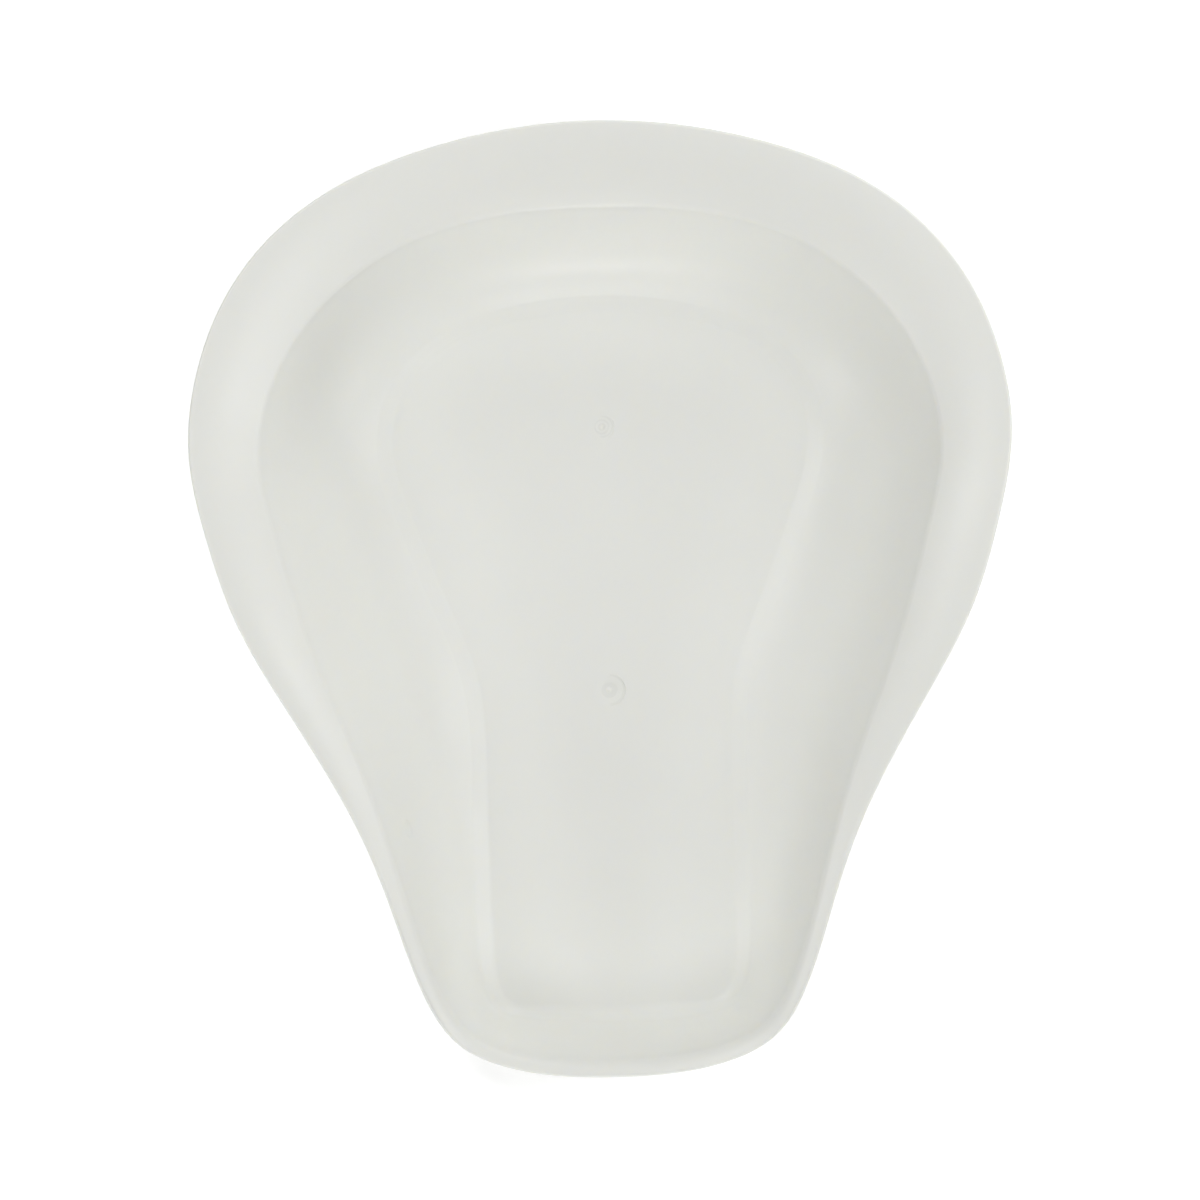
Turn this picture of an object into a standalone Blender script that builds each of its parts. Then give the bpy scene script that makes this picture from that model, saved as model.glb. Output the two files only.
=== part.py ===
"""Adult bedpan, 14 inch class, one injection-moulded polypropylene shell.

+Z is up, +Y points to the wide rear of the seat, +X to the right.
The origin lies in the middle of the footprint, on the plane of the base.
"""

import math

import bmesh
import bpy
import numpy as np

MM = 0.001

# Driving dimensions, in millimetres.
WALL = 2.5

# Height of the lip of the bowl, where the wall turns into the seat.
LIP_HEIGHT_REAR = 52.0
LIP_HEIGHT_SIDE = 63.0
LIP_HEIGHT_FRONT = 40.0

# The seat rises outwards from the lip and levels off towards its edge.
SEAT_SLOPE_INNER = 20.0
SEAT_SLOPE_OUTER = 2.0
FLANGE_DROP_WIDE = 9.0
FLANGE_DROP_NARROW = 6.0
WIDE_SEAT = 27.0
NARROW_SEAT = 6.5

FLOOR_RADIUS = 3.0
LIP_RADIUS_WIDE = 3.6
LIP_RADIUS_NARROW = 6.0
EDGE_RADIUS = 1.0
FOOT_RADIUS = 0.5

# A gently sloping strip borders the floor, then the wall starts.
STRIP_WIDTH = 6.0
STRIP_SLOPE_WIDE = 8.0
STRIP_SLOPE_NARROW = 26.0
FULL_STRIP_RUN = 24.0
WALL_FOOT_SLOPE_WIDE = 14.0
WALL_FOOT_SLOPE_NARROW = 64.0
WALL_TOP_EXTRA_WIDE = 14.0
WALL_TOP_EXTRA_NARROW = 5.0
FOOT_HANDLE = 0.6
TOP_HANDLE = 0.5
WIDE_RUN = 50.0
NARROW_RUN = 19.0

GATE_MARKS_Y = (64.5, -34.0)
GATE_DISH_RADIUS = 6.0
GATE_DISH_FLOOR_RADIUS = 3.4
GATE_DISH_DEPTH = 0.6
GATE_NIB_RADIUS = 0.9
GATE_NIB_HEIGHT = 0.5

# How finely the surface is divided.
STEPS_PER_SPAN = 3
BEND_STEPS = 2
SEAT_STEPS = 4
WALL_STEPS = 8

IVORY = (0.80, 0.79, 0.73, 1.0)

# Stations from the rear centre to the front centre, on the +X side. Each row
# gives the edge of the seat, the lip of the bowl and the edge of the floor.
STATIONS = (
    ((0.0, 178.0), (0.0, 146.0), (0.0, 107.5)),
    ((64.8, 168.3), (51.0, 140.8), (30.0, 104.8)),
    ((110.0, 146.8), (88.0, 124.0), (54.0, 97.0)),
    ((136.2, 118.6), (112.0, 100.0), (69.5, 84.0)),
    ((149.4, 87.0), (124.0, 74.0), (76.5, 68.5)),
    ((152.9, 59.0), (126.5, 52.0), (77.0, 53.0)),
    ((147.3, 26.5), (121.3, 26.0), (70.8, 32.5)),
    ((137.3, -4.5), (111.5, -9.0), (60.5, 5.0)),
    ((119.8, -37.0), (99.8, -41.0), (49.0, -25.0)),
    ((91.8, -88.5), (83.5, -87.0), (45.6, -78.0)),
    ((80.8, -119.0), (74.6, -118.0), (45.4, -116.0)),
    ((71.2, -146.0), (65.0, -145.0), (44.6, -139.5)),
    ((60.0, -163.3), (54.0, -160.0), (40.0, -150.0)),
    ((38.0, -174.1), (33.5, -168.9), (24.0, -152.2)),
    ((0.0, -178.0), (0.0, -172.0), (0.0, -153.2)),
)
WIDEST = 5


def clear_scene():
    for obj in list(bpy.data.objects):
        bpy.data.objects.remove(obj, do_unlink=True)


def closed_curve(corners, knots, where):
    """Periodic cubic spline through the corners, read at the parameters where."""
    count = len(corners)
    step = np.diff(np.append(knots, knots[-1] + (knots[-1] - knots[-2])))
    step[-1] = step[0]
    slope = (np.roll(corners, -1, axis=0) - corners) / step[:, None]
    matrix = np.zeros((count, count))
    right = np.zeros((count, corners.shape[1]))
    for i in range(count):
        before = step[i - 1]
        matrix[i, i - 1] += before
        matrix[i, i] += 2.0 * (before + step[i])
        matrix[i, (i + 1) % count] += step[i]
        right[i] = 6.0 * (slope[i] - slope[i - 1])
    bend = np.linalg.solve(matrix, right)
    points = []
    for i, u in where:
        j = (i + 1) % count
        h = step[i]
        a = 1.0 - u
        cubic = (a**3 - a) * bend[i] + (u**3 - u) * bend[j]
        points.append(a * corners[i] + u * corners[j] + cubic * h * h / 6.0)
    return np.array(points)


def all_round(half):
    """The stations of one half and their mirror images, as one closed row."""
    mirrored = [(-x, y) for x, y in half[-2:0:-1]]
    return np.array(list(half) + mirrored)


def lip_height(y):
    """Height of the lip: highest at the widest part, lower at both ends."""
    middle = STATIONS[WIDEST][1][1] - 30.0
    if y > middle:
        away = (y - middle) / (STATIONS[0][1][1] - middle)
        end = LIP_HEIGHT_REAR
    else:
        away = (middle - y) / (middle - STATIONS[-1][1][1])
        end = LIP_HEIGHT_FRONT
    return LIP_HEIGHT_SIDE + (end - LIP_HEIGHT_SIDE) * away * away


def share(value, low, high):
    """How far value lies from low to high, kept between 0 and 1."""
    return min(1.0, max(0.0, (value - low) / (high - low)))


def heading(degrees):
    return np.array((math.cos(math.radians(degrees)), math.sin(math.radians(degrees))))


def fillet(corner, arriving, leaving, radius):
    """Arc that rounds a corner between two headings, with its ends on them."""
    turn = math.acos(float(np.dot(arriving, leaving)))
    setback = radius * math.tan(turn / 2)
    bisector = leaving - arriving
    bisector = bisector / np.linalg.norm(bisector)
    centre = corner + bisector * radius / math.cos(turn / 2)
    first = corner - setback * arriving - centre
    last = corner + setback * leaving - centre
    points = []
    for k in range(BEND_STEPS + 1):
        angle = turn * k / BEND_STEPS
        part = math.sin(turn - angle) * first + math.sin(angle) * last
        points.append(centre + part / math.sin(turn))
    return points


def bezier(start, first, second, end, steps):
    """Points between the two ends of a cubic curve, without the ends."""
    points = []
    for k in range(1, steps):
        u = k / steps
        a = 1.0 - u
        point = a**3 * start + 3 * a * a * u * first
        points.append(point + 3 * a * u * u * second + u**3 * end)
    return points


def offset(line):
    """The line moved by one wall thickness to its right-hand side."""
    moved = []
    for k in range(len(line)):
        before = line[max(k - 1, 0)]
        after = line[min(k + 1, len(line) - 1)]
        along = (after - before) / np.linalg.norm(after - before)
        moved.append(line[k] + WALL * np.array((along[1], -along[0])))
    return moved


def seat_line(start, reach, shortening):
    """The crowned seat from its start to a little short of its full reach."""
    inner = math.tan(math.radians(SEAT_SLOPE_INNER))
    outer = math.tan(math.radians(SEAT_SLOPE_OUTER))
    length = reach - start[0]
    points = []
    for k in range(1, SEAT_STEPS + 1):
        d = (length - shortening) * k / SEAT_STEPS
        rise = inner * d + (outer - inner) * d * d / (2 * length)
        points.append(start + np.array((d, rise)))
    return points


def profile(run, width, top):
    """Closed cross-section as (distance out from the floor's edge, height) pairs."""
    narrow = share(run, WIDE_RUN, NARROW_RUN) ** 2
    strip = STRIP_SLOPE_WIDE + narrow * (STRIP_SLOPE_NARROW - STRIP_SLOPE_WIDE)
    strip = heading(strip)
    foot = WALL_FOOT_SLOPE_WIDE + narrow * (WALL_FOOT_SLOPE_NARROW - WALL_FOOT_SLOPE_WIDE)
    foot = heading(foot)
    inner = heading(SEAT_SLOPE_INNER)
    up, down, out, back = heading(90.0), heading(-90.0), heading(0.0), heading(180.0)
    reach = run + width

    # The visible side of the bowl: floor, strip, wall and lip.
    floor_end = np.array((0.0, WALL))
    strip_end = floor_end + strip * STRIP_WIDTH * min(1.0, run / FULL_STRIP_RUN) / strip[0]
    bowl = [np.array((-1.0, WALL))]
    bowl += fillet(floor_end, out, strip, FLOOR_RADIUS)
    bowl += fillet(strip_end, strip, foot, 2 * FLOOR_RADIUS)
    chord = np.array((run, top)) - bowl[-1]
    extra = WALL_TOP_EXTRA_WIDE + narrow * (WALL_TOP_EXTRA_NARROW - WALL_TOP_EXTRA_WIDE)
    head = heading(math.degrees(math.atan2(chord[1], chord[0])) + extra)
    bend = LIP_RADIUS_WIDE + narrow * (LIP_RADIUS_NARROW - LIP_RADIUS_WIDE)
    lip = fillet(np.array((run, top)), head, inner, bend)
    start, end = bowl[-1], lip[0]
    first = start + FOOT_HANDLE * (end[0] - start[0]) * foot / foot[0]
    second = end - TOP_HANDLE * (end[1] - start[1]) * head / head[1]
    bowl += bezier(start, first, second, end, WALL_STEPS)
    bowl += lip

    # The seat's two sides, its outer edge and the flange.
    above = seat_line(lip[-1], reach, EDGE_RADIUS)
    slope = above[-1] - above[-2]
    slope = slope / np.linalg.norm(slope)
    corner = above[-1] + slope * (reach - above[-1][0]) / slope[0]
    wide = share(width, NARROW_SEAT, WIDE_SEAT)
    drop = FLANGE_DROP_NARROW + wide * (FLANGE_DROP_WIDE - FLANGE_DROP_NARROW)
    bottom = corner[1] - drop
    inside = reach - WALL
    hidden = offset(bowl + seat_line(lip[-1], reach, WALL + FOOT_RADIUS))
    hidden = hidden[:-1]
    slope = hidden[-1] - hidden[-2]
    slope = slope / np.linalg.norm(slope)
    meet = hidden[-1] + slope * (inside - hidden[-1][0]) / slope[0]

    points = bowl + above[:-1]
    points += fillet(corner, slope, down, EDGE_RADIUS)
    points += fillet(np.array((reach, bottom)), down, back, FOOT_RADIUS)
    points += fillet(np.array((inside, bottom)), back, up, FOOT_RADIUS)
    points += fillet(meet, up, -slope, FOOT_RADIUS)
    points += hidden[::-1]
    return points


def ring_at(floor_edge, lip, seat_edge):
    run = np.linalg.norm(lip - floor_edge)
    inward = (lip - floor_edge) / run
    width = np.linalg.norm(seat_edge - lip)
    outward = (seat_edge - lip) / width
    ring = []
    for out, height in profile(run, width, lip_height(lip[1])):
        if out < run:
            place = floor_edge + out * inward
        else:
            place = lip + (out - run) * outward
        ring.append((place[0] * MM, place[1] * MM, height * MM))
    return ring


def shell_object():
    edges = [all_round([row[k] for row in STATIONS]) for k in range(3)]
    count = len(edges[0])
    gaps = np.linalg.norm(np.diff(edges[0], axis=0), axis=1)
    knots = np.concatenate([[0.0], np.cumsum(gaps)])
    where = []
    for i in range(count):
        where += [(i, k / STEPS_PER_SPAN) for k in range(STEPS_PER_SPAN)]
    seat_edge, lip, floor_edge = (closed_curve(edge, knots, where) for edge in edges)
    rings = [ring_at(f, p, s) for f, p, s in zip(floor_edge, lip, seat_edge)]

    mesh = bpy.data.meshes.new("pan_shell")
    shape = bmesh.new()
    grid = [[shape.verts.new(point) for point in ring] for ring in rings]
    around = len(grid)
    for i in range(around):
        here = grid[i]
        there = grid[(i + 1) % around]
        for k in range(len(here) - 1):
            shape.faces.new((here[k], here[k + 1], there[k + 1], there[k]))
    shape.faces.new([ring[0] for ring in grid])
    shape.faces.new([ring[-1] for ring in grid])
    bmesh.ops.recalc_face_normals(shape, faces=shape.faces)
    shape.to_mesh(mesh)
    shape.free()
    shell = bpy.data.objects.new("pan_shell", mesh)
    bpy.context.collection.objects.link(shell)
    return shell


def add_cutter(name, shape):
    mesh = bpy.data.meshes.new(name)
    shape.to_mesh(mesh)
    shape.free()
    cutter = bpy.data.objects.new(name, mesh)
    bpy.context.collection.objects.link(cutter)
    cutter.hide_render = True
    cutter.display_type = "WIRE"
    return cutter


def gate_dish(name, y):
    """Cutter for the shallow dish with sloping sides moulded round a gate."""
    clear = 0.4
    side = GATE_DISH_RADIUS - GATE_DISH_FLOOR_RADIUS
    shape = bmesh.new()
    bmesh.ops.create_cone(
        shape,
        cap_ends=True,
        segments=24,
        radius1=GATE_DISH_FLOOR_RADIUS * MM,
        radius2=(GATE_DISH_RADIUS + side * clear / GATE_DISH_DEPTH) * MM,
        depth=(GATE_DISH_DEPTH + clear) * MM,
    )
    cutter = add_cutter(name, shape)
    middle = WALL + 0.5 * (clear - GATE_DISH_DEPTH)
    cutter.location = (0.0, y * MM, middle * MM)
    return cutter


def gate_nib(name, y):
    """The broken-off sprue left standing in the middle of a dish."""
    height = GATE_NIB_HEIGHT + 1.0
    shape = bmesh.new()
    bmesh.ops.create_cone(
        shape,
        cap_ends=True,
        segments=12,
        radius1=GATE_NIB_RADIUS * MM,
        radius2=0.7 * GATE_NIB_RADIUS * MM,
        depth=height * MM,
    )
    nib = add_cutter(name, shape)
    foot = WALL - GATE_DISH_DEPTH - 1.0
    nib.location = (0.0, y * MM, (foot + 0.5 * height) * MM)
    return nib


def ivory_material():
    material = bpy.data.materials.new("ivory_polypropylene")
    material.use_nodes = True
    shader = material.node_tree.nodes["Principled BSDF"]
    shader.inputs["Base Color"].default_value = IVORY
    shader.inputs["Roughness"].default_value = 0.38
    shader.inputs["Metallic"].default_value = 0.0
    return material


def add_boolean(obj, other, operation):
    modifier = obj.modifiers.new(other.name, "BOOLEAN")
    modifier.operation = operation
    modifier.solver = "EXACT"
    modifier.object = other


def main():
    clear_scene()
    pan = shell_object()
    pan.data.materials.append(ivory_material())
    pan.data.shade_smooth()
    pan.data.set_sharp_from_angle(angle=math.radians(50.0))

    for number, y in enumerate(GATE_MARKS_Y, 1):
        add_boolean(pan, gate_dish(f"gate_dish_{number}", y), "DIFFERENCE")
        add_boolean(pan, gate_nib(f"gate_nib_{number}", y), "UNION")


main()
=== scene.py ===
"""Looks of the bedpan: a fine one-piece shell in ivory polypropylene, seen from straight above."""

import math

import bmesh
import bpy
import numpy as np
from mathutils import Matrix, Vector
from mathutils.bvhtree import BVHTree


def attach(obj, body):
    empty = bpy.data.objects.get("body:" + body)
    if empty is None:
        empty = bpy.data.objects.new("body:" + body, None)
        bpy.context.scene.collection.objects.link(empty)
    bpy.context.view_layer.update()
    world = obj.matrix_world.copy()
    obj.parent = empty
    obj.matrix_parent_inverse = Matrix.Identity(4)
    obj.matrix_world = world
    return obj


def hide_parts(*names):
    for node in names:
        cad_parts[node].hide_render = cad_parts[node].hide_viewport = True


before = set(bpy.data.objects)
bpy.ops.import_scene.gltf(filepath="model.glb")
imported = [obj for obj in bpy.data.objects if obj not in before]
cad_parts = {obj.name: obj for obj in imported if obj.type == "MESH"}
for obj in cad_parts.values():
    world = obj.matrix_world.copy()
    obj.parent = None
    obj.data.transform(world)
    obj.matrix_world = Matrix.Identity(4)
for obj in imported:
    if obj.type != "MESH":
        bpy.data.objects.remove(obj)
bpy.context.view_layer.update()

MM = 0.001

# ---------------------------------------------------------------------------
# The shell's dimensions, in millimetres and degrees. They are the CAD part's, except that the
# floor's edge is rounder here (8 mm and 6 mm against 3 mm) and the gate dishes are shallower.
# ---------------------------------------------------------------------------
WALL = 2.5
LIP_HEIGHT_REAR = 52.0
LIP_HEIGHT_SIDE = 63.0
LIP_HEIGHT_FRONT = 40.0
LIP_PEAK_SETBACK = 30.0
SEAT_SLOPE_INNER = 20.0
SEAT_SLOPE_OUTER = 2.0
FLANGE_DROP_WIDE = 9.0
FLANGE_DROP_NARROW = 6.0
WIDE_SEAT = 27.0
NARROW_SEAT = 6.5
FLOOR_START = -3.0
FLOOR_RADIUS = 8.0
STRIP_RADIUS = 6.0
LIP_RADIUS_WIDE = 3.6
LIP_RADIUS_NARROW = 6.0
EDGE_RADIUS = 1.0
FOOT_RADIUS = 0.5
STRIP_WIDTH = 6.0
STRIP_SLOPE_WIDE = 8.0
STRIP_SLOPE_NARROW = 26.0
FULL_STRIP_RUN = 24.0
WALL_FOOT_SLOPE_WIDE = 14.0
WALL_FOOT_SLOPE_NARROW = 64.0
WALL_TOP_EXTRA_WIDE = 14.0
WALL_TOP_EXTRA_NARROW = 5.0
FOOT_HANDLE = 0.6
TOP_HANDLE = 0.5
WIDE_RUN = 50.0
NARROW_RUN = 19.0

# Each gate mark: its place on the floor and the radius of its dish.
GATE_MARKS = ((0.8, 64.5, 4.6), (0.8, -34.0, 6.0))
GATE_DISH_DEPTH = 0.4
GATE_DISH_TILT = 4.0
GATE_NIB_RADIUS = 0.9
GATE_NIB_HEIGHT = 0.3
# The nib's outline below its tip: (share of its radius, drop below the tip).
GATE_NIB_SHOULDERS = ((0.45, 0.04), (0.75, 0.18))
GATE_NIB_FOOT = 1.2
GATE_FLAT = 1.5

# A faint round ejector mark on the left wall of the neck.
EJECTOR_MARK = (-75.5, -83.5)
EJECTOR_MARK_RADIUS = 3.9
EJECTOR_MARK_DEPTH = 0.22
EJECTOR_MARK_FLAT = 2.6

# The cutters for these marks start just above the surface and end well above it.
TOOL_LIFT = 0.02
TOOL_MARGIN = 0.5
TOOL_TOP = 1.2
TOOL_SEGMENTS = 48
DISH_STEPS = 16

# How finely the surface is divided.
STEPS_PER_SPAN = 12
BEND_STEPS = 8
SEAT_STEPS = 12
WALL_STEPS = 26

# Shading: edges over this angle are sharp, and level faces over this area are shaded flat.
SHARP_ANGLE = 40.0
LEVEL_COSINE = 0.99999
LEVEL_AREA = 20.0

# Stations from the rear centre to the front centre: seat edge, lip, floor edge.
STATIONS = (
    ((0.0, 178.0), (0.0, 146.0), (0.0, 107.5)),
    ((64.8, 168.3), (51.0, 140.8), (30.0, 104.8)),
    ((110.0, 146.8), (88.0, 124.0), (54.0, 97.0)),
    ((136.2, 118.6), (112.0, 100.0), (69.5, 84.0)),
    ((149.4, 87.0), (124.0, 74.0), (76.5, 68.5)),
    ((152.9, 59.0), (126.5, 52.0), (77.0, 53.0)),
    ((147.3, 26.5), (121.3, 26.0), (70.8, 32.5)),
    ((137.3, -4.5), (111.5, -9.0), (60.5, 5.0)),
    ((119.8, -37.0), (99.8, -41.0), (49.0, -25.0)),
    ((91.8, -88.5), (83.5, -87.0), (45.6, -78.0)),
    ((80.8, -119.0), (74.6, -118.0), (45.4, -116.0)),
    ((71.2, -146.0), (65.0, -145.0), (44.6, -139.5)),
    ((60.0, -163.3), (54.0, -160.0), (40.0, -150.0)),
    ((38.0, -174.1), (33.5, -168.9), (24.0, -152.2)),
    ((0.0, -178.0), (0.0, -172.0), (0.0, -153.2)),
)
WIDEST = 5

# ---------------------------------------------------------------------------
# The plastic
# ---------------------------------------------------------------------------
BOWL_TONES = ((0.843, 0.849, 0.815, 1.0), (0.849, 0.855, 0.821, 1.0))
# The seat's tones are the bowl's made about 4% darker. This is painted shade, which balances the
# seat against the bowl under these lights. It blends in over the lip, from 3 mm inside it to 1 mm
# outside.
SEAT_PAINTED_SHADE_TONES = ((0.807, 0.813, 0.780, 1.0), (0.813, 0.819, 0.786, 1.0))
SEAT_PAINTED_SHADE_INSIDE = 3.0
SEAT_PAINTED_SHADE_OUTSIDE = 1.0
PLASTIC_IOR = 1.49
SCATTER_SPREAD = (1.0, 0.96, 0.85)
SCATTER_DEPTH = 0.0012
SHEEN_ROUGHNESS = (0.33, 0.40)
GRAIN_STRENGTH = 0.25
GRAIN_HEIGHT = 0.00002

# ---------------------------------------------------------------------------
# The studio, in metres, degrees and watts
# ---------------------------------------------------------------------------
FLOOR_SIZE = 12.0
FLOOR_LEVEL = -0.0005
FLOOR_TONE = (0.9, 0.9, 0.9, 1.0)
FLOOR_ROUGHNESS = 0.9
FLOOR_GLOW = 0.35
# The patch under the pan is painted shadow: floor that doesn't glow, cut to 94% of the seat's
# outline.
SHADOW_PATCH_LEVEL = -0.0003
SHADOW_PATCH_SHARE = 0.94
WORLD_STRENGTH = 0.1

RIM_PLANE = 0.062
CAMERA_DISTANCE = 8.0
CAMERA_SHIFT = (-0.0017, -0.0002)
CAMERA_TURN = -1.6
SENSOR_WIDTH = 36.0
FRAME_WIDTH = 0.4454

LIGHT_DISTANCE = 1.6
# Each light: name, azimuth, elevation, size, energy. The directions and energies are the rounded
# result of a separate least-squares fit of the shading, and not a studio set up by hand.
LIGHTS = (
    ("high_rear_left", 135.0, 68.0, 0.3, 4.9),
    ("high_right", 0.0, 68.0, 0.3, 3.0),
    ("front", 270.0, 48.0, 0.5, 3.1),
    ("left", 202.5, 48.0, 0.5, 3.0),
    ("right", 0.0, 48.0, 0.5, 2.4),
    ("rear", 67.5, 48.0, 0.5, 1.9),
    ("low_right", 337.5, 25.0, 0.5, 3.1),
    ("low_rear_right", 67.5, 25.0, 0.5, 2.9),
    ("low_left", 202.5, 25.0, 0.5, 2.7),
    ("low_rear", 112.5, 25.0, 0.5, 2.0),
    ("grazing_front", 270.0, 10.0, 0.5, 4.3),
    ("grazing_rear", 45.0, 10.0, 0.5, 3.5),
)

# ---------------------------------------------------------------------------
# Shape
# ---------------------------------------------------------------------------
def closed_curve(corners, knots, where):
    """Periodic cubic spline through the corners, read at the parameters where."""
    count = len(corners)
    step = np.diff(np.append(knots, knots[-1] + (knots[-1] - knots[-2])))
    step[-1] = step[0]
    slope = (np.roll(corners, -1, axis=0) - corners) / step[:, None]
    matrix = np.zeros((count, count))
    right = np.zeros((count, corners.shape[1]))
    for i in range(count):
        before = step[i - 1]
        matrix[i, i - 1] += before
        matrix[i, i] += 2.0 * (before + step[i])
        matrix[i, (i + 1) % count] += step[i]
        right[i] = 6.0 * (slope[i] - slope[i - 1])
    bend = np.linalg.solve(matrix, right)
    points = []
    for i, u in where:
        j = (i + 1) % count
        h = step[i]
        a = 1.0 - u
        cubic = (a**3 - a) * bend[i] + (u**3 - u) * bend[j]
        points.append(a * corners[i] + u * corners[j] + cubic * h * h / 6.0)
    return np.array(points)


def all_round(half):
    """The right half of an outline with its mirror image, from the rear centre all round."""
    mirrored = [(-x, y) for x, y in half[-2:0:-1]]
    return np.array(list(half) + mirrored)


def lip_height(y):
    """The lip is highest beside the bowl and falls away towards both ends."""
    middle = STATIONS[WIDEST][1][1] - LIP_PEAK_SETBACK
    if y > middle:
        away = (y - middle) / (STATIONS[0][1][1] - middle)
        end = LIP_HEIGHT_REAR
    else:
        away = (middle - y) / (middle - STATIONS[-1][1][1])
        end = LIP_HEIGHT_FRONT
    return LIP_HEIGHT_SIDE + (end - LIP_HEIGHT_SIDE) * away * away


def share(value, low, high):
    """How far a value lies from low to high, kept between 0 and 1."""
    return min(1.0, max(0.0, (value - low) / (high - low)))


def heading(degrees):
    """Unit vector of the section's plane at an angle above outward."""
    return np.array((math.cos(math.radians(degrees)), math.sin(math.radians(degrees))))


def fillet(corner, arriving, leaving, radius):
    """Arc that rounds a corner between two headings, with its ends on them."""
    turn = math.acos(float(np.dot(arriving, leaving)))
    setback = radius * math.tan(turn / 2)
    bisector = leaving - arriving
    bisector = bisector / np.linalg.norm(bisector)
    centre = corner + bisector * radius / math.cos(turn / 2)
    first = corner - setback * arriving - centre
    last = corner + setback * leaving - centre
    points = []
    for k in range(BEND_STEPS + 1):
        angle = turn * k / BEND_STEPS
        part = math.sin(turn - angle) * first + math.sin(angle) * last
        points.append(centre + part / math.sin(turn))
    return points


def bezier(start, first, second, end, steps):
    """Points between the two ends of a cubic curve, without the ends."""
    points = []
    for k in range(1, steps):
        u = k / steps
        a = 1.0 - u
        point = a**3 * start + 3 * a * a * u * first
        points.append(point + 3 * a * u * u * second + u**3 * end)
    return points


def offset(line):
    """The line moved by one wall thickness to its right-hand side."""
    moved = []
    for k in range(len(line)):
        before = line[max(k - 1, 0)]
        after = line[min(k + 1, len(line) - 1)]
        along = (after - before) / np.linalg.norm(after - before)
        moved.append(line[k] + WALL * np.array((along[1], -along[0])))
    return moved


def seat_line(start, reach, shortening):
    """The crowned seat from its start to a little short of its full reach."""
    inner = math.tan(math.radians(SEAT_SLOPE_INNER))
    outer = math.tan(math.radians(SEAT_SLOPE_OUTER))
    length = reach - start[0]
    points = []
    for k in range(1, SEAT_STEPS + 1):
        d = (length - shortening) * k / SEAT_STEPS
        rise = inner * d + (outer - inner) * d * d / (2 * length)
        points.append(start + np.array((d, rise)))
    return points


def profile(run, width, top):
    """Closed cross-section as (distance out from the floor's edge, height) pairs."""
    narrow = share(run, WIDE_RUN, NARROW_RUN) ** 2
    strip = STRIP_SLOPE_WIDE + narrow * (STRIP_SLOPE_NARROW - STRIP_SLOPE_WIDE)
    strip = heading(strip)
    foot = WALL_FOOT_SLOPE_WIDE + narrow * (WALL_FOOT_SLOPE_NARROW - WALL_FOOT_SLOPE_WIDE)
    foot = heading(foot)
    inner = heading(SEAT_SLOPE_INNER)
    up, down, out, back = heading(90.0), heading(-90.0), heading(0.0), heading(180.0)
    reach = run + width

    # The visible side of the bowl: floor, strip, wall and lip.
    floor_end = np.array((0.0, WALL))
    strip_end = floor_end + strip * STRIP_WIDTH * min(1.0, run / FULL_STRIP_RUN) / strip[0]
    bowl = [np.array((FLOOR_START, WALL))]
    bowl += fillet(floor_end, out, strip, FLOOR_RADIUS)
    bowl += fillet(strip_end, strip, foot, STRIP_RADIUS)
    chord = np.array((run, top)) - bowl[-1]
    extra = WALL_TOP_EXTRA_WIDE + narrow * (WALL_TOP_EXTRA_NARROW - WALL_TOP_EXTRA_WIDE)
    head = heading(math.degrees(math.atan2(chord[1], chord[0])) + extra)
    bend = LIP_RADIUS_WIDE + narrow * (LIP_RADIUS_NARROW - LIP_RADIUS_WIDE)
    lip = fillet(np.array((run, top)), head, inner, bend)
    start, end = bowl[-1], lip[0]
    first = start + FOOT_HANDLE * (end[0] - start[0]) * foot / foot[0]
    second = end - TOP_HANDLE * (end[1] - start[1]) * head / head[1]
    bowl += bezier(start, first, second, end, WALL_STEPS)
    bowl += lip

    # The seat's two sides, its outer edge and the flange.
    above = seat_line(lip[-1], reach, EDGE_RADIUS)
    slope = above[-1] - above[-2]
    slope = slope / np.linalg.norm(slope)
    corner = above[-1] + slope * (reach - above[-1][0]) / slope[0]
    wide = share(width, NARROW_SEAT, WIDE_SEAT)
    drop = FLANGE_DROP_NARROW + wide * (FLANGE_DROP_WIDE - FLANGE_DROP_NARROW)
    bottom = corner[1] - drop
    inside = reach - WALL
    hidden = offset(bowl + seat_line(lip[-1], reach, WALL + FOOT_RADIUS))
    hidden = hidden[:-1]
    slope = hidden[-1] - hidden[-2]
    slope = slope / np.linalg.norm(slope)
    meet = hidden[-1] + slope * (inside - hidden[-1][0]) / slope[0]

    points = bowl + above[:-1]
    points += fillet(corner, slope, down, EDGE_RADIUS)
    points += fillet(np.array((reach, bottom)), down, back, FOOT_RADIUS)
    points += fillet(np.array((inside, bottom)), back, up, FOOT_RADIUS)
    points += fillet(meet, up, -slope, FOOT_RADIUS)
    points += hidden[::-1]
    return points


def seat_share(out, run):
    """0 on the bowl, 1 on the seat, blended over the lip."""
    # This share places the seat's painted shade in the material.
    t = share(out, run - SEAT_PAINTED_SHADE_INSIDE, run + SEAT_PAINTED_SHADE_OUTSIDE)
    return t * t * (3 - 2 * t)


def ring_at(floor_edge, lip, seat_edge):
    """The cross-section at one station, as (x, y, z, share of seat) rows in metres."""
    run = np.linalg.norm(lip - floor_edge)
    inward = (lip - floor_edge) / run
    width = np.linalg.norm(seat_edge - lip)
    outward = (seat_edge - lip) / width
    ring = []
    for out, height in profile(run, width, lip_height(lip[1])):
        if out < run:
            place = floor_edge + out * inward
        else:
            place = lip + (out - run) * outward
        ring.append((place[0] * MM, place[1] * MM, height * MM, seat_share(out, run)))
    return ring


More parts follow.
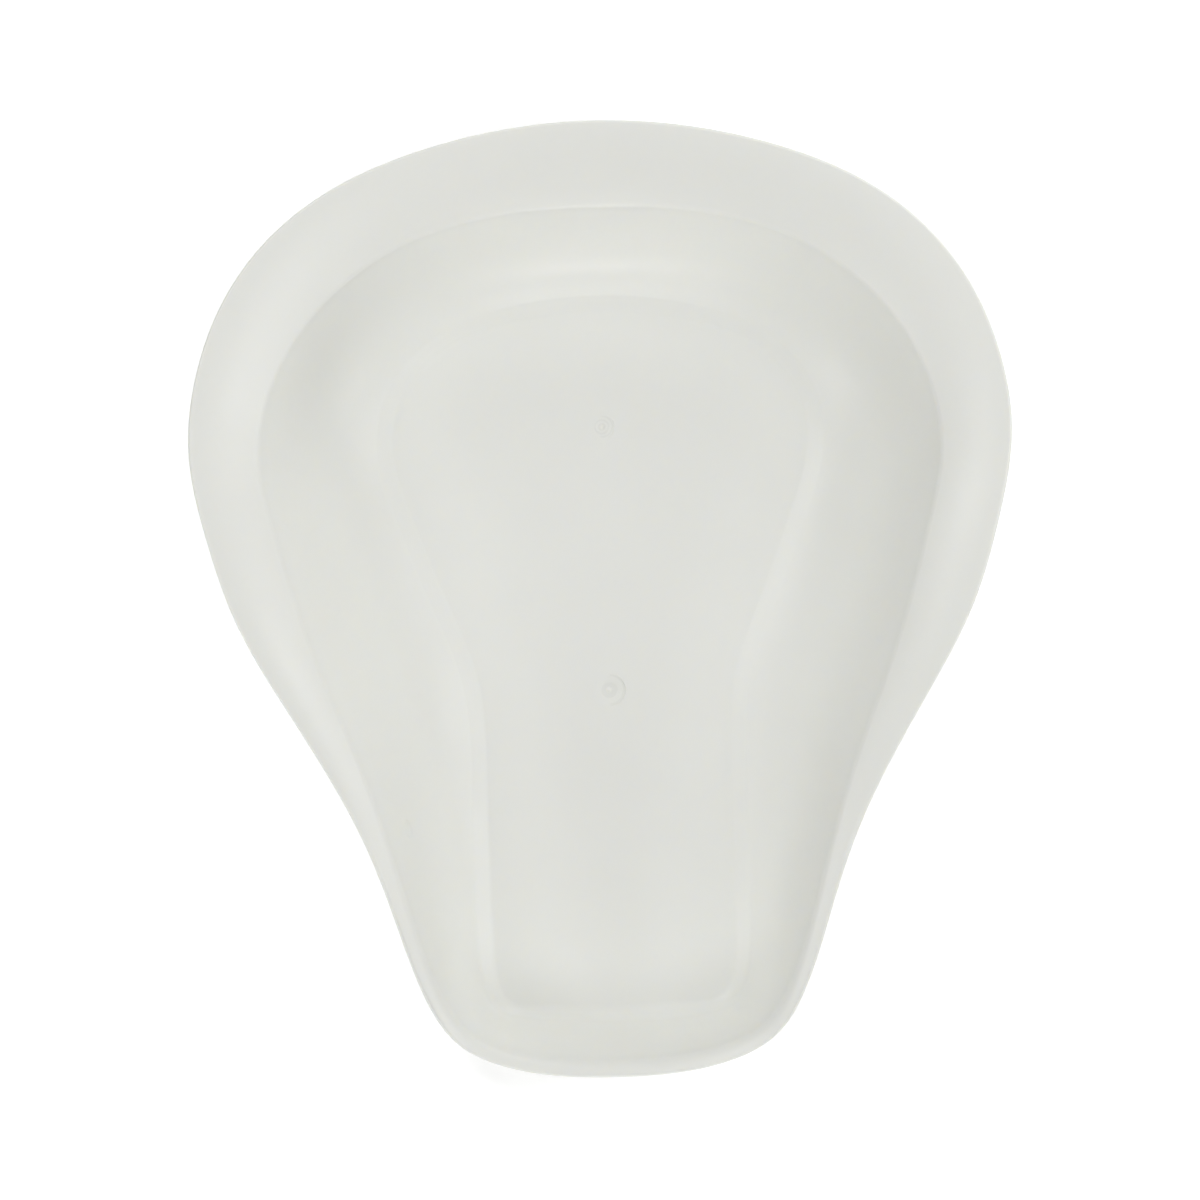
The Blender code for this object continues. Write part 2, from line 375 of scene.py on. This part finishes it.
def edge_curves():
    """The edge of the seat, the lip and the edge of the floor, as closed rows of points."""
    edges = [all_round([row[k] for row in STATIONS]) for k in range(3)]
    count = len(edges[0])
    gaps = np.linalg.norm(np.diff(edges[0], axis=0), axis=1)
    knots = np.concatenate([[0.0], np.cumsum(gaps)])
    where = []
    for i in range(count):
        where += [(i, k / STEPS_PER_SPAN) for k in range(STEPS_PER_SPAN)]
    return [closed_curve(edge, knots, where) for edge in edges]


def shell_object():
    """The shell as one closed mesh, with the share of seat as a vertex attribute."""
    seat_edge, lip, floor_edge = edge_curves()
    rings = [ring_at(f, p, s) for f, p, s in zip(floor_edge, lip, seat_edge)]

    mesh = bpy.data.meshes.new("bedpan_shell")
    shape = bmesh.new()
    seat = shape.verts.layers.float.new("seat")
    grid = []
    for ring in rings:
        row = []
        for x, y, z, on_seat in ring:
            vert = shape.verts.new((x, y, z))
            vert[seat] = on_seat
            row.append(vert)
        grid.append(row)
    around = len(grid)
    for i in range(around):
        here = grid[i]
        there = grid[(i + 1) % around]
        for k in range(len(here) - 1):
            shape.faces.new((here[k], here[k + 1], there[k + 1], there[k]))
    shape.faces.new([ring[0] for ring in grid])
    shape.faces.new([ring[-1] for ring in grid])
    bmesh.ops.recalc_face_normals(shape, faces=shape.faces)
    shape.to_mesh(mesh)
    shape.free()
    shell = bpy.data.objects.new("bedpan_shell", mesh)
    bpy.context.scene.collection.objects.link(shell)
    return shell


def turned(name, profile, segments):
    """Closed solid of revolution about Z from (radius, height) pairs, both ends on the axis."""
    shape = bmesh.new()
    rings = []
    for radius, height in profile:
        if radius < 1e-6:
            rings.append([shape.verts.new((0.0, 0.0, height * MM))])
            continue
        ring = []
        for k in range(segments):
            angle = 2 * math.pi * k / segments
            x = radius * math.cos(angle) * MM
            y = radius * math.sin(angle) * MM
            ring.append(shape.verts.new((x, y, height * MM)))
        rings.append(ring)
    for lower, upper in zip(rings, rings[1:]):
        for k in range(segments):
            j = (k + 1) % segments
            if len(lower) == 1:
                shape.faces.new((lower[0], upper[j], upper[k]))
            elif len(upper) == 1:
                shape.faces.new((lower[k], lower[j], upper[0]))
            else:
                shape.faces.new((lower[k], lower[j], upper[j], upper[k]))
    bmesh.ops.recalc_face_normals(shape, faces=shape.faces)
    mesh = bpy.data.meshes.new(name)
    shape.to_mesh(mesh)
    shape.free()
    solid = bpy.data.objects.new(name, mesh)
    bpy.context.scene.collection.objects.link(solid)
    return solid


def dish_profile(radius, depth, flat):
    """Top-open dish, flat in the middle and running out smoothly at its rim."""
    profile = []
    for k in range(DISH_STEPS + 1):
        t = k / DISH_STEPS
        fall = 0.5 * depth * (1 + math.cos(math.pi * t))
        profile.append((flat + (radius - flat) * t, TOOL_LIFT - fall))
    profile.append((radius + TOOL_MARGIN, TOOL_TOP))
    profile.append((0.0, TOOL_TOP))
    return profile


def gate_mark_tool(name, x, y, radius):
    """Cutter for one gate dish with its broken-off nib left standing in the middle."""
    nib_top = GATE_NIB_HEIGHT - GATE_DISH_DEPTH
    profile = [(0.0, nib_top)]
    for part, drop in GATE_NIB_SHOULDERS:
        profile.append((part * GATE_NIB_RADIUS, nib_top - drop))
    profile.append((1.0 * GATE_NIB_RADIUS, -GATE_DISH_DEPTH + 0.08))
    profile.append((GATE_NIB_FOOT * GATE_NIB_RADIUS, -GATE_DISH_DEPTH))
    profile += dish_profile(radius, GATE_DISH_DEPTH, GATE_FLAT * GATE_NIB_RADIUS)
    tool = turned(name, profile, TOOL_SEGMENTS)
    tool.location = (x * MM, y * MM, WALL * MM)
    tool.rotation_euler = (0.0, math.radians(GATE_DISH_TILT), 0.0)
    tool.hide_render = True
    return tool


def ejector_mark_tool(name, shell):
    """Shallow dish cut square to the wall it lies on."""
    x, y = EJECTOR_MARK
    tree = BVHTree.FromObject(shell, bpy.context.evaluated_depsgraph_get())
    place, normal, _, _ = tree.ray_cast(Vector((x * MM, y * MM, 0.2)), Vector((0, 0, -1)))
    profile = [(0.0, TOOL_LIFT - EJECTOR_MARK_DEPTH)]
    profile += dish_profile(EJECTOR_MARK_RADIUS, EJECTOR_MARK_DEPTH, EJECTOR_MARK_FLAT)
    tool = turned(name, profile, TOOL_SEGMENTS)
    tool.location = place
    tool.rotation_euler = normal.to_track_quat("Z", "Y").to_euler()
    tool.hide_render = True
    return tool


def applied(obj):
    """Applies all of an object's modifiers and returns it."""
    bpy.context.view_layer.update()
    graph = bpy.context.evaluated_depsgraph_get()
    mesh = bpy.data.meshes.new_from_object(obj.evaluated_get(graph))
    obj.modifiers.clear()
    obj.data = mesh
    return obj


# ---------------------------------------------------------------------------
# Material
# ---------------------------------------------------------------------------
def polypropylene():
    """Ivory, slightly translucent plastic with a satin moulded surface."""
    material = bpy.data.materials.new("ivory_polypropylene")
    material.use_nodes = True
    nodes = material.node_tree.nodes
    links = material.node_tree.links
    shader = nodes["Principled BSDF"]
    shader.inputs["IOR"].default_value = PLASTIC_IOR
    shader.inputs["Subsurface Weight"].default_value = 1.0
    shader.inputs["Subsurface Radius"].default_value = SCATTER_SPREAD
    shader.inputs["Subsurface Scale"].default_value = SCATTER_DEPTH
    place = nodes.new("ShaderNodeTexCoord")

    def noise(scale, detail):
        texture = nodes.new("ShaderNodeTexNoise")
        texture.inputs["Scale"].default_value = scale
        texture.inputs["Detail"].default_value = detail
        links.new(place.outputs["Object"], texture.inputs["Vector"])
        return texture.outputs["Fac"]

    def ramp(value, low, high):
        node = nodes.new("ShaderNodeMapRange")
        node.inputs["From Min"].default_value = 0.3
        node.inputs["From Max"].default_value = 0.7
        node.inputs["To Min"].default_value = low
        node.inputs["To Max"].default_value = high
        links.new(value, node.inputs["Value"])
        return node.outputs["Result"]

    def blend(factor, first, second):
        node = nodes.new("ShaderNodeMix")
        node.data_type = "RGBA"
        links.new(factor, node.inputs["Factor"])
        for name, colour in (("A", first), ("B", second)):
            socket = [s for s in node.inputs if s.name == name and s.type == "RGBA"][0]
            if isinstance(colour, tuple):
                socket.default_value = colour
            else:
                links.new(colour, socket)
        return [s for s in node.outputs if s.type == "RGBA"][0]

    # Colour: slow mottling, and a seat 4% darker than the bowl, to balance it under these lights.
    # The difference stands in for light, and doesn't claim two colours of plastic.
    bowl = blend(ramp(noise(9.0, 2.0), 0.0, 1.0), *BOWL_TONES)
    seat = blend(ramp(noise(14.0, 3.0), 0.0, 1.0), *SEAT_PAINTED_SHADE_TONES)
    on_seat = nodes.new("ShaderNodeAttribute")
    on_seat.attribute_name = "seat"
    links.new(blend(on_seat.outputs["Fac"], bowl, seat), shader.inputs["Base Color"])

    # Satin sheen that varies a little, with a very fine moulded grain.
    links.new(ramp(noise(45.0, 4.0), *SHEEN_ROUGHNESS), shader.inputs["Roughness"])
    bump = nodes.new("ShaderNodeBump")
    bump.inputs["Strength"].default_value = GRAIN_STRENGTH
    bump.inputs["Distance"].default_value = GRAIN_HEIGHT
    links.new(noise(700.0, 3.0), bump.inputs["Height"])
    links.new(bump.outputs["Normal"], shader.inputs["Normal"])
    return material


def floor_material(name, glow):
    """Matt white, which gives off a little light of its own."""
    material = bpy.data.materials.new(name)
    material.use_nodes = True
    shader = material.node_tree.nodes["Principled BSDF"]
    shader.inputs["Base Color"].default_value = FLOOR_TONE
    shader.inputs["Roughness"].default_value = FLOOR_ROUGHNESS
    shader.inputs["Specular IOR Level"].default_value = 0.0
    shader.inputs["Emission Color"].default_value = (1.0, 1.0, 1.0, 1.0)
    shader.inputs["Emission Strength"].default_value = glow
    return material


# ---------------------------------------------------------------------------
# Build
# ---------------------------------------------------------------------------
shell = shell_object()
tools = [ejector_mark_tool("ejector_tool", shell)]
for number, (x, y, radius) in enumerate(GATE_MARKS, 1):
    tools.append(gate_mark_tool(f"gate_tool_{number}", x, y, radius))
for tool in tools:
    cut = shell.modifiers.new(tool.name, "BOOLEAN")
    cut.operation = "DIFFERENCE"
    cut.solver = "EXACT"
    cut.object = tool
applied(shell)
for tool in tools:
    bpy.data.objects.remove(tool, do_unlink=True)
shell.data.shade_smooth()
shell.data.set_sharp_from_angle(angle=math.radians(SHARP_ANGLE))
# The floor is shaded flat, or the rims of the marks would shade streaks across it.
for face in shell.data.polygons:
    if abs(face.normal.z) > LEVEL_COSINE and face.area > LEVEL_AREA * MM * MM:
        face.use_smooth = False
shell.data.materials.clear()
shell.data.materials.append(polypropylene())

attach(shell, "root")
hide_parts("pan_shell")

# The studio: floor, camera and lights.
bpy.ops.mesh.primitive_plane_add(size=FLOOR_SIZE, location=(0.0, 0.0, FLOOR_LEVEL))
studio_floor = bpy.context.object
studio_floor.name = "studio_floor"
studio_floor.data.materials.append(floor_material("studio_floor", FLOOR_GLOW))

# The floor glows a little. A patch that doesn't glow lies under the pan. It is painted shadow,
# standing for the pan's own shade on the floor beneath it, so that no light from below shines
# through the translucent base.
shaded_mesh = bpy.data.meshes.new("painted_shadow_under_pan")
shaded_edge = []
for x, y in edge_curves()[0][::-1]:
    shaded_edge.append((SHADOW_PATCH_SHARE * x * MM, SHADOW_PATCH_SHARE * y * MM, SHADOW_PATCH_LEVEL))
shaded_mesh.from_pydata(shaded_edge, [], [list(range(len(shaded_edge)))])
shaded_mesh.materials.append(floor_material("painted_shadow_under_pan", 0.0))
shaded_floor = bpy.data.objects.new("painted_shadow_under_pan", shaded_mesh)
bpy.context.scene.collection.objects.link(shaded_floor)

camera_data = bpy.data.cameras.new("camera")
camera_data.sensor_width = SENSOR_WIDTH
camera_data.lens = SENSOR_WIDTH * CAMERA_DISTANCE / FRAME_WIDTH
camera_data.clip_end = 50.0
camera = bpy.data.objects.new("camera", camera_data)
camera.location = (*CAMERA_SHIFT, RIM_PLANE + CAMERA_DISTANCE)
camera.rotation_euler = (0.0, 0.0, math.radians(CAMERA_TURN))
bpy.context.scene.collection.objects.link(camera)
bpy.context.scene.camera = camera


def area_light(name, azimuth, elevation, size, energy):
    """Round light that faces the middle of the pan's base from the given direction."""
    data = bpy.data.lights.new(name, "AREA")
    data.shape = "DISK"
    data.size = size
    data.energy = energy
    light = bpy.data.objects.new(name, data)
    az = math.radians(azimuth)
    el = math.radians(elevation)
    place = Vector((math.cos(az) * math.cos(el), math.sin(az) * math.cos(el), math.sin(el)))
    light.location = place * LIGHT_DISTANCE
    light.rotation_euler = (-place).to_track_quat("-Z", "Y").to_euler()
    bpy.context.scene.collection.objects.link(light)


for row in LIGHTS:
    area_light(*row)

world = bpy.data.worlds.new("studio")
bpy.context.scene.world = world
world.use_nodes = True
world.node_tree.nodes["Background"].inputs["Color"].default_value = (1, 1, 1, 1)
world.node_tree.nodes["Background"].inputs["Strength"].default_value = WORLD_STRENGTH
bpy.context.scene.view_settings.view_transform = "Standard"
